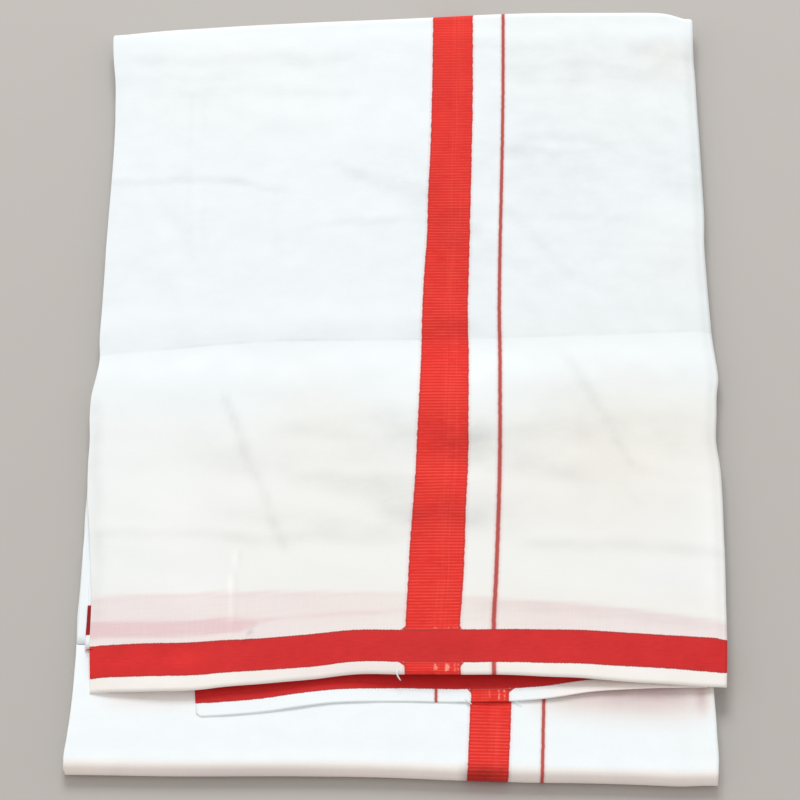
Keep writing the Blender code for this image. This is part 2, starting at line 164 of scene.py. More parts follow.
def waves(a, b, seed, count, longest, shortest):
    # Sum of sine waves over a plane, each with its own direction, length and phase, scaled to about 1.
    draw = np.random.default_rng(seed)
    total = np.zeros(np.broadcast(a, b).shape)
    for length in np.geomspace(longest, shortest, count):
        turn, phase = draw.uniform(0, math.pi), draw.uniform(0, 2 * math.pi)
        total += np.sin(2 * math.pi * (a * math.cos(turn) + b * math.sin(turn)) / length + phase)
    return total / math.sqrt(count)


def besideLine(x, y, ends, bow=0.0):
    # For points beside a line that bows sideways: their place along it from 0 to 1, how far past its ends
    # they lie, and how far to its left.
    x0, y0, x1, y1 = ends
    length = math.hypot(x1 - x0, y1 - y0)
    dx, dy = (x1 - x0) / length, (y1 - y0) / length
    share = ((x - x0) * dx + (y - y0) * dy) / length
    inside = np.clip(share, 0.0, 1.0)
    away = (y - y0) * dx - (x - x0) * dy - bow * 4 * inside * (1 - inside)
    return inside, (share - inside) * length, away


def softFolds(x, y, rows):
    # Each fold is a bell across a bowed line, wider on one side, that fades out past both ends.
    height = np.zeros(np.broadcast(x, y).shape)
    for *sizes, bias in rows:
        *ends, bow, rise, width = millimetres(sizes)
        inside, past, away = besideLine(x, y, ends, bow)
        spread = width * (1 + bias * np.tanh(away / width))
        fade = 0.45 + 0.55 * np.sin(math.pi * np.clip(0.15 + 0.8 * inside, 0, 1))
        height += rise * fade * np.exp(-((away / spread) ** 2) - (past / (1.6 * width)) ** 2)
    return height


def softSteps(x, y, rows):
    # Each step is (a / width) times a bell of a, its distance behind the line, so its middle faces forward.
    height = np.zeros(np.broadcast(x, y).shape)
    for *ends, bow, drop, width in rows:
        inside, past, away = besideLine(x, y, ends, bow)
        height += drop * away / width * np.exp(-((away / width) ** 2) - (past / (2.0 * width)) ** 2)
    return height


def bent(x, y):
    # Places moved a little by long waves, so that straight rows of a table turn into wandering lines.
    reach = relief["bending"]
    return x + reach * waves(x, y, 41, 4, 0.14, 0.05), y + reach * waves(x, y, 42, 4, 0.14, 0.05)


def smoothTop(x, y):
    # Height of the upper leaf before its folds: the table along y, raised parts of its front edge, each
    # exp(-(distance / reach)^4) wide, and a low left corner.
    away = y - curveThrough(stack["upperFront"], x)
    height = curveThrough(stack["topHeight"], y)
    for middle, reach, lift, run in stack["archs"]:
        height = height + lift * np.exp(-(((x - middle) / reach) ** 4)) * (1 - softStep(away / run))
    return height - stack["lowCorner"] * bell(x + 0.2, 0.020) * (1 - softStep((y + 0.249) / 0.03))


def foldedTop(x, y):
    # The smooth top with the packing crease, its soft folds and steps and a slight unevenness. The crease
    # falls off as exp(-distance / reach) on both sides of its line, with its very bottom rounded.
    away = y - curveThrough(relief["creaseLine"], x)
    reach = np.where(away > 0, relief["creaseBehind"], relief["creaseBefore"])
    crease = -relief["creaseDepth"] * np.exp(0.1 - np.sqrt((away / reach) ** 2 + 0.01))
    uneven = relief["unevenness"] * waves(x, y, 5, 9, 0.16, 0.03)
    uneven = uneven + relief["bands"] * waves(x * 0.25, y, 12, 7, 0.06, 0.012)
    bentX, bentY = bent(x, y)
    shapes = crease + softFolds(bentX, bentY, relief["folds"]) + softSteps(bentX, bentY, relief["steps"])
    fade = 1 - softStep((y - curveThrough(stack["backFold"], x) + 0.024) / 0.014)
    edge = softStep((y - curveThrough(stack["upperFront"], x)) / 0.02)
    return smoothTop(x, y) + fade * shapes + uneven * fade * (0.3 + 0.7 * edge)


def middleHeight(y):
    # Height of the stack's middle: lower at the front fold, rising to its value under the upper leaf.
    rise = softStep((y + 0.21) / 0.05)
    return stack["middleFront"] + (stack["middleBack"] - stack["middleFront"]) * rise


def edges(plan, y):
    # Left and right x of one of the stack's outlines.
    return curveThrough(stack[plan], y, 1), curveThrough(stack[plan], y, 2)


def placed(name, mesh, material):
    # The mesh in its material, as an object at the origin.
    mesh.materials.append(material)
    piece = bpy.data.objects.new(name, mesh)
    bpy.context.scene.collection.objects.link(piece)
    return piece


def clothObject(name, points, clothUV, material, thickness, paintedShading=None):
    # A grid of points as an open surface with the cloth's own measures as its UV map, walled by Solidify.
    # Painted shading is three shares for each point: red showing through together with painted red
    # reflected light, painted shade (below 0 painted lighter), and a warm tint that is mostly painted warm
    # shade.
    rows, columns = points.shape[:2]
    at = np.arange(rows * columns).reshape(rows, columns)
    corners = np.stack([at[:-1, :-1], at[:-1, 1:], at[1:, 1:], at[1:, :-1]], axis=-1).reshape(-1, 4)
    mesh = bpy.data.meshes.new(name)
    mesh.vertices.add(rows * columns)
    mesh.vertices.foreach_set("co", points.astype(np.float32).ravel())
    mesh.loops.add(corners.size)
    mesh.loops.foreach_set("vertex_index", corners.ravel())
    mesh.polygons.add(len(corners))
    mesh.polygons.foreach_set("loop_start", np.arange(0, corners.size, 4))
    mesh.update(calc_edges=True)
    measures = mesh.uv_layers.new(name="cloth")
    measures.uv.foreach_set("vector", clothUV.reshape(-1, 2)[corners.ravel()].astype(np.float32).ravel())
    if paintedShading is None:
        paintedShading = np.zeros((rows, columns, 3))
    painted = mesh.attributes.new("paintedShading", "FLOAT_COLOR", "POINT")
    shares = np.concatenate([paintedShading, np.ones((rows, columns, 1))], axis=-1)
    painted.data.foreach_set("color", shares.astype(np.float32).ravel())
    mesh.shade_smooth()
    piece = placed(name, mesh, material)
    wall = piece.modifiers.new("wall", "SOLIDIFY")
    wall.thickness = thickness
    wall.offset = -1.0
    return piece


cottonLook = {
    "white": (0.908, 0.957, 0.975),
    # warm white, for the painted warm tone of shade
    "whiteWarm": (0.908, 0.895, 0.838),
    "red": (0.86, 0.030, 0.022),
    "redRidge": (0.97, 0.092, 0.062),
    "redDeep": (0.63, 0.016, 0.016),
    "redEdge": (0.38, 0.038, 0.034),
    "borderRed": (0.73, 0.029, 0.029),
    "borderDeep": (0.56, 0.017, 0.018),
    "lineRed": (0.50, 0.066, 0.052),
    # pink for red showing through, also for painted red reflected light and painted warm shade
    "showRed": (0.83, 0.62, 0.63),
    "fleckRed": (0.95, 0.36, 0.28),
    "wideStripe": 0.030,  # cloth measure from the stripe's inner edge
    "thinLine": 0.0512,
    "thinLineHalf": 0.00112,
    "selvedge": 0.0104,
    "borderEnd": 0.0334,
    "ribPitch": 0.0024,
    "threadPitch": 0.00055,
    # how far a full share of painted shade darkens the colour
    "shadeDepth": 0.13,
    # where weft shows through the stripe at the selvedge: start, end, strength
    "fleckColumns": [
        (0.0158, 0.0178, 0.8), (0.0217, 0.0240, 1.0), (0.0262, 0.0272, 0.6), (0.0282, 0.0290, 0.5),
    ],
}


class Wire:
    # Wraps a node's output, so that sums, products and comparisons of wires add Math nodes.
    def __init__(self, bench, socket):
        self.bench = bench
        self.socket = socket

    def __add__(self, other):
        return self.bench.maths("ADD", self, other)

    def __radd__(self, other):
        return self.bench.maths("ADD", other, self)

    def __sub__(self, other):
        return self.bench.maths("SUBTRACT", self, other)

    def __rsub__(self, other):
        return self.bench.maths("SUBTRACT", other, self)

    def __mul__(self, other):
        return self.bench.maths("MULTIPLY", self, other)

    def __rmul__(self, other):
        return self.bench.maths("MULTIPLY", other, self)

    def __truediv__(self, other):
        return self.bench.maths("DIVIDE", self, other)

    def __gt__(self, other):
        return self.bench.maths("GREATER_THAN", self, other)

    def __lt__(self, other):
        return self.bench.maths("LESS_THAN", self, other)


class Bench:
    # Builds one material's nodes around its own shader.
    def __init__(self, name, roughness):
        self.material = bpy.data.materials.new(name)
        self.material.use_nodes = True
        self.nodes = self.material.node_tree.nodes
        self.links = self.material.node_tree.links
        self.shader = self.nodes["Principled BSDF"]
        self.shader.inputs["Roughness"].default_value = roughness

    def node(self, kind, settings, inputs, output=0):
        made = self.nodes.new(kind)
        for key, value in settings.items():
            setattr(made, key, value)
        for key, value in inputs.items():
            self.feed(made.inputs[key], value)
        return Wire(self, made.outputs[output])

    def feed(self, socket, value):
        if isinstance(value, Wire):
            self.links.new(value.socket, socket)
        else:
            socket.default_value = value

    def maths(self, operation, first, second=0.0):
        return self.node("ShaderNodeMath", {"operation": operation}, {0: first, 1: second})

    def sine(self, angle):
        return self.maths("SINE", angle)

    def smoothly(self, value, low, high):
        # 0 below low, 1 above high, smooth between.
        ends = {"Value": value, "From Min": low, "From Max": high}
        return self.node("ShaderNodeMapRange", {"interpolation_type": "SMOOTHSTEP"}, ends)

    def band(self, value, low, high, soft):
        # 1 between low and high, with soft edges.
        above = self.smoothly(value, low - soft, low + soft)
        return above * (1 - self.smoothly(value, high - soft, high + soft))

    def place(self, x, y, z=0.0):
        return self.node("ShaderNodeCombineXYZ", {}, {"X": x, "Y": y, "Z": z})

    def noise(self, where, scale, detail=2.0):
        inputs = {"Vector": where, "Scale": scale, "Detail": detail, "Roughness": 0.55}
        return self.node("ShaderNodeTexNoise", {"noise_dimensions": "3D"}, inputs)

    def blend(self, share, first, second):
        # Mixes two colours by a share from 0 to 1.
        inputs = {0: share, 6: colourOf(first), 7: colourOf(second)}
        return self.node("ShaderNodeMix", {"data_type": "RGBA", "clamp_factor": True}, inputs, output=2)

    def tint(self, colour, amount):
        # Multiplies a colour by one number.
        return self.node("ShaderNodeVectorMath", {"operation": "SCALE"}, {0: colour, 3: amount})


def colourOf(value):
    return value if isinstance(value, Wire) else (*value, 1.0)


def wovenCotton(name, look):
    bench = Bench(name, 0.82)
    measures = bench.node("ShaderNodeUVMap", {"uv_map": "cloth"}, {})
    split = bench.node("ShaderNodeSeparateXYZ", {}, {"Vector": measures})
    across = Wire(bench, split.socket.node.outputs["X"])
    along = Wire(bench, split.socket.node.outputs["Y"])
    # painted shading of the points: red showing through, painted shade and painted warm tone
    painted = bench.node("ShaderNodeAttribute", {"attribute_name": "paintedShading"}, {})
    showing = bench.node("ShaderNodeSeparateColor", {}, {"Color": painted})
    shade = Wire(bench, showing.socket.node.outputs["Green"])
    warmth = Wire(bench, showing.socket.node.outputs["Blue"])
    fullTurn = 2 * math.pi
    wide, selvedge, borderEnd = look["wideStripe"], look["selvedge"], look["borderEnd"]

    def patches(acrossRate, alongRate, level=0.0, detail=2.0):
        # Noise with its own rate each way, at its own level of the pattern.
        return bench.noise(bench.place(across * acrossRate, along * alongRate, level), 1.0, detail)

    # Threads wander a little, so edges woven along them do too.
    wander = (patches(20, 230, detail=3.0) - 0.5) * 0.0014
    drift = (patches(300, 30, detail=3.0) - 0.5) * 0.0009
    column = across + wander
    tooth = (bench.sine(across * (fullTurn / 0.0021)) + bench.sine(across * (fullTurn / 0.0013))) * 0.00010
    row = along + drift + tooth

    # border beside the selvedge, darker along both its edges
    border = bench.band(row, selvedge, borderEnd, 0.00032)
    borderInside = bench.band(row, selvedge + 0.0010, borderEnd - 0.0010, 0.0005)

    # wide stripe with weft ribs, spreading with rounded corners where it meets the border
    beyond = along > borderEnd
    within = along < selvedge
    meeting = bench.smoothly(along, borderEnd + 0.0050, borderEnd - 0.0004) * beyond
    corner = bench.smoothly(along, selvedge - 0.0050, selvedge) * within
    leftSpread = meeting * meeting * 0.0024 + corner * corner * 0.0034
    rightSpread = meeting * meeting * 0.0010 + corner * corner * 0.0018
    leftPlace = column + leftSpread
    rightPlace = column - rightSpread
    stripe = bench.smoothly(leftPlace, -0.0004, 0.0004)
    stripe = stripe * (1 - bench.smoothly(rightPlace, wide - 0.0004, wide + 0.0004))
    stripeInside = bench.band(column, 0.0011, wide - 0.0011, 0.0006)
    halo = bench.band(column, -0.0016, wide + 0.0016, 0.0007) * (1 - stripe)
    farEnd = bench.band(along, 0.42, 0.70, 0.12)
    ribWave = bench.sine((along + wander * 0.5) * (fullTurn / look["ribPitch"]))
    rib = bench.maths("POWER", 0.5 + 0.5 * ribWave, 2.0)
    ribPatches = patches(120, 420, 3.0)
    ribStretch = patches(14, 30, 4.0)
    ribbed = rib * bench.smoothly(ribPatches + (ribStretch - 0.5) * 0.7, 0.12, 0.68)
    streak = patches(900, 14, 5.0)

    # thin line, twisted a little
    swell = bench.smoothly(along, 0.52, 0.02)
    lean = (bench.noise(bench.place(along * 180, 0.0, 6.0), 1.0, 3.0) - 0.5) * 0.0011
    half = look["thinLineHalf"] + swell * 0.00030
    offCentre = bench.maths("ABSOLUTE", across - look["thinLine"] + lean) / half
    line = 1 - bench.smoothly(offCentre, 0.55, 1.50)
    lineHalo = (1 - bench.smoothly(offCentre, 1.30, 2.70)) * (1 - line)

    # whites, warmer where painted warm shade lies, with red glimmering through from the layers below and
    # painted red reflected light
    cloud = patches(9, 9, 1.0, 3.0)
    mottle = patches(70, 70, 2.0, 3.0)
    colour = bench.blend(warmth + (cloud - 0.5) * 0.3, look["white"], look["whiteWarm"])
    threads = patches(40, 900, 15.0)
    lengths = patches(800, 40, 17.0)
    glimmer = showing * (0.45 + 0.6 * threads + 0.5 * lengths)
    colour = bench.blend(glimmer + halo * 0.32 + lineHalo * 0.42, colour, look["showRed"])

    # reds over the white
    depth = streak * 0.4 + (cloud - 0.5) * 0.9 + (mottle - 0.5) * 0.7 + 0.42
    body = bench.blend(depth, look["redDeep"], look["red"])
    flecked = bench.band(column, 0.0150, 0.0235, 0.0015) * bench.smoothly(streak, 0.35, 0.75)
    ridges = ribbed * (0.80 - 0.42 * farEnd) + farEnd * 0.10 + flecked * 0.22
    stripeColour = bench.blend(ridges, body, look["redRidge"])
    stripeColour = bench.blend((1 - stripeInside) * 0.45, stripeColour, look["redEdge"])
    colour = bench.blend(line * 0.97, colour, look["lineRed"])
    colour = bench.blend(stripe, colour, stripeColour)
    grain = patches(160, 900, 7.0)
    worn = (grain - 0.5) * 0.9 + (mottle - 0.5) * 0.8 + 0.55
    borderColour = bench.blend(worn, look["borderDeep"], look["borderRed"])
    borderColour = bench.blend((1 - borderInside) * 0.75, borderColour, look["redEdge"])
    colour = bench.blend(border, colour, borderColour)
    fleckNoise = patches(300, 260, 9.0, 1.0)
    places = 0.0
    for start, end, strength in look["fleckColumns"]:
        places = places + bench.band(column, start, end, 0.0005) * strength
    inSelvedge = bench.band(along, 0.0015, selvedge - 0.0012, 0.0012)
    lastRib = bench.band(along, borderEnd + 0.0006, borderEnd + 0.0020, 0.0004)
    fleck = bench.smoothly(fleckNoise, 0.40, 0.55) * places * (inSelvedge + lastRib * 0.6)
    colour = bench.blend(fleck * 0.85, colour, look["fleckRed"])
    blotch = patches(55, 75, 19.0, 4.0)
    # painted shade from the points darkens the colour, broken up by blotches, with a slight random tone
    brightness = 1 - look["shadeDepth"] * shade * (0.2 + 1.6 * blotch) - (mottle - 0.5) * 0.020
    colour = bench.tint(colour, brightness)
    bench.feed(bench.shader.inputs["Base Color"], colour)

    # relief of the weave
    warp = bench.sine(across * (fullTurn / look["threadPitch"]))
    weft = bench.sine(along * (fullTurn / look["threadPitch"]))
    slub = patches(700, 90, 11.0)
    slubAcross = patches(90, 700, 13.0)
    raised = ribbed * stripe * (1 - border)
    height = warp * weft * 0.10 + slub * 0.5 + slubAcross * 0.5 + raised * 1.9
    bumped = bench.node("ShaderNodeBump", {}, {"Height": height, "Strength": 0.30, "Distance": 0.00045})
    finish = {"Normal": bumped, "Sheen Weight": 0.06, "Sheen Roughness": 0.5, "Specular IOR Level": 0.20}
    for name, value in finish.items():
        bench.feed(bench.shader.inputs[name], value)
    return bench.material


# the other end of the cloth has a finer line and other flecks, and the pleats' hidden borders lie in
# shadow, so their reds are painted darker as painted shadow
secondLook = dict(cottonLook, thinLineHalf=0.00062)
secondLook["fleckColumns"] = [(0.0030, 0.0044, 1.0), (0.0072, 0.0086, 0.8), (0.0150, 0.0158, 0.4)]
shadedPleatLook = dict(cottonLook, borderRed=(0.36, 0.011, 0.014), borderDeep=(0.27, 0.009, 0.012))

cotton = wovenCotton("wovenCotton", cottonLook)
# the pleats' copy of the cotton, with painted shadow on its borders
shadedCottonPleats = wovenCotton("wovenCottonPleatsShaded", shadedPleatLook)
cottonEnd = wovenCotton("wovenCottonEnd", secondLook)
print("materials made")


looseThreads = {
    "sides": 8,
    "rings": 17,
    "white": (-0.10, 0.30),  # where on the cloth their colours are taken
    "red": (0.30, 0.022),
    # in mm: colour, radius, places passed
    "outer": [
        ("white", 0.50, [(-0.6, -235.2, 18.8), (-2, -238, 19.2), (-1.2, -240.4, 18), (0.4, -242.4, 16.6)]),
        ("red", 0.35, [(-190.5, -217.5, 13.7), (-193, -217.8, 13.9), (-195, -218.3, 12.9)]),
    ],
    "second": [
        ("white", 0.28, [(69.8, -253.2, 12.6), (72, -255.4, 12.1), (75.4, -257.6, 11.4)]),
        ("white", 0.55, [(40, -252.8, 12.7), (41.8, -255.2, 12.9), (44.2, -256.6, 12)]),
    ],
}


def threadObject(name, threads, look, material):
    # Each thread is a tube of rings along the smooth curve through its places, thinner towards its ends
    # as the root of a sine, and closed there by a point.
    sides = look["sides"]
    turn = np.arange(sides)[None, :, None] * (2 * math.pi / sides)
    t = np.linspace(0.0, 1.0, look["rings"])
    taper = np.sqrt(np.sin(math.pi * (0.04 + 0.92 * t)))[:, None, None]
    allPoints, allFaces, allMeasures, first = [], [], [], 0
    for colour, radius, places in threads:
        route = np.column_stack([np.linspace(0.0, 1.0, len(places)), millimetres(places)])
        line = np.stack([curveThrough(route, t, column) for column in (1, 2, 3)], axis=-1)
        forward = np.gradient(line, axis=0)
        forward = forward / np.linalg.norm(forward, axis=1, keepdims=True)
        side = np.cross(forward, (0.0, 0.0, 1.0))
        side = side / np.linalg.norm(side, axis=1, keepdims=True)
        up = np.cross(side, forward)
        around = side[:, None, :] * np.cos(turn) + up[:, None, :] * np.sin(turn)
        rings = line[:, None, :] + millimetres(radius) * taper * around
        at = first + np.arange(t.size * sides).reshape(t.size, sides)
        after = np.roll(at, -1, axis=1)
        last = first + t.size * sides
        walls = np.stack([at[:-1], at[1:], after[1:], after[:-1]], axis=-1).reshape(-1, 4)
        start = np.stack([np.full(sides, last), at[0], after[0]], axis=-1)
        end = np.stack([np.full(sides, last + 1), after[-1], at[-1]], axis=-1)
        allFaces += walls.tolist() + start.tolist() + end.tolist()
        allPoints += [rings.reshape(-1, 3), line[[0, -1]]]
        allMeasures += [np.tile(look[colour], (t.size * sides + 2, 1))]
        first = last + 2
    mesh = bpy.data.meshes.new(name)
    mesh.from_pydata(np.concatenate(allPoints).tolist(), [], allFaces)
    corners = np.zeros(len(mesh.loops), dtype=np.int32)
    mesh.loops.foreach_get("vertex_index", corners)
    measures = mesh.uv_layers.new(name="cloth")
    measures.uv.foreach_set("vector", np.concatenate(allMeasures)[corners].astype(np.float32).ravel())
    mesh.shade_smooth()
    piece = placed(name, mesh, material)
    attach(piece, "root")
    return piece


outerThreads = threadObject("outerThreads", looseThreads["outer"], looseThreads, cotton)
secondThreads = threadObject("secondThreads", looseThreads["second"], looseThreads, cotton)
print("loose threads made")


# The outermost layer of cloth is one piece: upper leaf, back fold, underside, front fold and lower leaf.
outerLeaf = {
    "thickness": 0.00045,
    "flap": 0.014,  # how far it is turned under at its folded left edge
    "flapDepth": 0.00058,
    "leftRound": 0.0011,
    "leftRoundRun": 0.0045,
    "rightDroop": 0.0030,
    "rightDroopRun": 0.008,
    "cornerDrop": 0.0006,  # the front left corner touches the lower leaf
    "edgeRoll": 0.0010,  # the selvedge rolls down in the middle
    "lowerSlump": 0.0006,  # the lower leaf sinks a little before the front fold
    "dimple": 0.0004,  # and dips near its right end
    "nominalLeft": -0.1935,
    "nominalWidth": 0.3965,
    "flapColumns": 7,  # columns of the flap, its fold and the leaf
    "foldColumns": 5,
    "columns": 134,
    "rowsBefore": 86,  # rows in front of the crease, close to it on each side, and behind it
    "rowsNear": 13,
    "rowsBehind": 88,
    "rearRows": 16,  # rows round the back, underneath, round the front and back on top
    "underRows": 29,
    "noseRows": 18,
    "lowerRows": 33,
    # along the cloth from the front selvedge: inner and outer edge of the wide stripe, thin line
    "stripeRoute": millimetres([
        (0, 2.6, 37.6, 58), (10, 2.6, 37.6, 58), (48.2, 3.7, 38, 58.7), (63.1, 4.4, 39.4, 59.6),
        (93.3, 5.7, 40.9, 61.1), (123.9, 7.6, 41.8, 62.4), (154.9, 9.6, 43.3, 63.5),
        (186.2, 10.9, 44.3, 64.2), (218, 12.3, 44.5, 64.6), (250.2, 13.7, 44.8, 65),
        (282.8, 14.4, 44.5, 65), (315.8, 15.8, 45.4, 65.6), (349.2, 17.9, 46.4, 66.5),
        (383.2, 18.7, 47.3, 67.6), (417.5, 20.2, 48.3, 68.6), (469.9, 21.7, 49.5, 69.9),
        (523.4, 22.6, 50, 70.7), (560, 23.2, 50.4, 71.2), (1158, 40.9, 65.9, 86.6),
        (1204.2, 43, 68.3, 88.2), (1270, 46, 71.6, 90.5),
    ]),
    # how deep the selvedge and the border are woven across the leaf: x, selvedge, border
    "borderRoute": millimetres([
        (-192, 10, 23.2), (-160, 10.8, 24.7), (-128, 10.8, 25.3), (-90, 9.5, 24.7), (-58, 8.8, 24.7),
        (-27, 8.6, 25.2), (20, 8.5, 26.9), (59, 8.8, 27), (104, 9.8, 26.8), (148, 11.3, 26.3),
        (205, 10.2, 25.2),
    ]),
}


def clothMeasures(x, along, look, route, borders):
    # The stripes' places along the cloth become straight columns, and the border's depth one constant.
    wide, line = look["wideStripe"], look["thinLine"]
    selvedge, borderEnd = look["selvedge"], look["borderEnd"]
    inner, outer, thin = (curveThrough(route, along, column) for column in (1, 2, 3))
    depth, width = curveThrough(borders, x, 1), curveThrough(borders, x, 2)
    inside = (x - inner) / (outer - inner) * wide
    beyond = wide + (x - outer) / (thin - outer) * (line - wide)
    column = np.where(x < inner, x - inner, np.where(x < outer, inside, beyond))
    column = np.where(x > thin, line + x - thin, column)
    row = selvedge + (along - depth) / width * (borderEnd - selvedge)
    row = np.where(along < depth, along / depth * selvedge, row)
    row = np.where(along > depth + width, borderEnd + along - depth - width, row)
    return np.stack([column, row], axis=-1)


def topRows(front, crease, back, leaf):
    # Rows from the front edge through the crease to the back, closer together beside the crease.
    before = np.linspace(0.0, 0.95, leaf["rowsBefore"])
    before = np.append(before, np.linspace(0.95, 1.0, leaf["rowsNear"])[1:])
    behind = np.linspace(0.0, 0.05, leaf["rowsNear"])[1:]
    behind = np.append(behind, np.linspace(0.05, 1.0, leaf["rowsBehind"])[1:])
    near = front + (crease - front) * before[:, None]
    return np.concatenate([near, crease + (back - crease) * behind[:, None]])


def rowsTo(end, rows):
    # Evenly spaced values from 0 to end, without the first, one for each row.
    return np.linspace(0.0, end, rows + 1)[1:, None]


def outerShape(leaf, look):
    # A profile of flap, fold and leaf is carried along the letter fold: over the top, round the back,
    # forward underneath, round the front and back on top. Depth is measured inwards from the outer line.
    turn = leaf["flapDepth"] / 2
    flap, fold = leaf["flapColumns"], leaf["foldColumns"]
    bend = np.linspace(0.0, math.pi, fold + 2)[1:-1]
    t = np.linspace(0.0, 1.0, leaf["columns"])
    share = 0.72 * t + 0.28 * (0.5 - 0.5 * np.cos(math.pi * t))  # closer together towards both ends
    inset = [np.linspace(leaf["flap"], turn, flap), turn - turn * np.sin(bend), np.full(t.size, turn)]
    depth = [np.full(flap, 2 * turn), turn + turn * np.cos(bend), np.zeros(t.size)]
    woven = [np.linspace(-leaf["flap"] - 2 * turn, -2 * turn, flap), np.linspace(-1.8 * turn, 0, fold)]
    woven = np.concatenate([*woven, np.zeros(t.size)])[None, :]
    share = np.concatenate([np.zeros(flap + fold), share])[None, :]
    inset, depth = np.concatenate(inset)[None, :], np.concatenate(depth)[None, :]

    nominal = leaf["nominalLeft"] + leaf["nominalWidth"] * share + inset - turn
    front = curveThrough(stack["upperFront"], nominal)
    back = curveThrough(stack["backFold"], nominal)
    backRadius = foldedTop(nominal, back - 0.008) / 2
    backTurn = back - backRadius

    def across(left, right):
        return left + inset + (right - left - turn) * share

    # over the top
    y = topRows(front, curveThrough(relief["creaseLine"], nominal), backTurn, leaf)
    t = (y - front) / (backTurn - front)
    left, right = edges("upperPlan", y)
    x = across(left, right)
    meet = softStep((t - 0.94) / 0.06)
    rounded = leaf["leftRound"] * np.exp(-(np.maximum(x - left, 0) / leaf["leftRoundRun"]) ** 1.5)
    away = np.maximum(y - front, 0.0)
    droop = leaf["rightDroop"] * softStep(1 - (right - x) / leaf["rightDroopRun"])
    droop = droop * (0.15 + 0.85 * softStep(away / 0.06))
    corner = leaf["cornerDrop"] * bell(x - left, 0.010) * bell(away, 0.018)
    roll = leaf["edgeRoll"] * softStep(1 - away / 0.010) ** 2
    roll = roll * (bell(x + 0.015, 0.045) + 0.6 * bell(x - 0.080, 0.045))
    drop = rounded + droop + corner + roll
    z = foldedTop(x, y) * (1 - meet) + 2 * backRadius * meet - drop * (1 - meet) - depth
    top = np.stack([x, y, z], axis=-1)
    alongTop = y - front

    # round the back
    angle = rowsTo(math.pi, leaf["rearRows"])
    down = softStep(angle / math.pi)
    highLeft, highRight = edges("upperPlan", backTurn)
    lowLeft, lowRight = edges("packPlan", back - 0.02)
    x = across(highLeft * (1 - down) + lowLeft * down, highRight * (1 - down) + lowRight * down)
    y = backTurn + (backRadius - depth) * np.sin(angle)
    z = backRadius + (backRadius - depth) * np.cos(angle)
    rear = np.stack([x, y, z], axis=-1)
    alongRear = alongTop[-1] + backRadius * angle

    # forward underneath
    radius = stack["frontFoldHeight"] / 2
    fold = curveThrough(stack["frontFold"], nominal)
    frontTurn = fold + radius
    t = rowsTo(1.0, leaf["underRows"])
    y = backTurn + (frontTurn - backTurn) * t
    settle = softStep(t / 0.06)
    left, right = edges("packPlan", y)
    x = across(lowLeft * (1 - settle) + left * settle, lowRight * (1 - settle) + right * settle)
    under = np.stack([x, y, np.broadcast_to(depth, y.shape)], axis=-1)
    alongUnder = alongRear[-1] + (backTurn - y)

    # round the front
    angle = rowsTo(math.pi, leaf["noseRows"])
    y = frontTurn - (radius - depth) * np.sin(angle)
    z = radius - (radius - depth) * np.cos(angle)
    x = across(*edges("packPlan", y))
    nose = np.stack([x, y, z], axis=-1)
    alongNose = alongUnder[-1] + radius * angle

    # back on top
    t = rowsTo(1.0, leaf["lowerRows"])
    y = frontTurn + (stack["lowerTail"] - frontTurn) * t
    x = across(*edges("packPlan", y))
    uneven = 0.00012 * waves(x, y, 8, 6, 0.12, 0.03)
    slump = leaf["lowerSlump"] * bell(y - frontTurn, 0.018)
    dimple = leaf["dimple"] * bell(x - 0.1862, 0.0042) * bell(y + 0.250, 0.013)
    z = 2 * radius - depth + (uneven - slump) * softStep(t / 0.15) - dimple
    lower = np.stack([x, y, z], axis=-1)
    alongLower = alongNose[-1] + (y - frontTurn)

    points = np.concatenate([top, rear, under, nose, lower])
    # the weft lies straight on the front fold, so measures even out on the way there
    uneven = alongNose[-1].mean() - alongNose[-1]
    alongUnder = alongUnder + uneven * softStep(np.linspace(0.0, 1.0, len(alongUnder)))[:, None]
    along = np.concatenate([alongTop, alongRear, alongUnder, alongNose + uneven, alongLower + uneven])
    clothX = points[..., 0] + woven
    return points, clothMeasures(clothX, along, look, leaf["stripeRoute"], leaf["borderRoute"])


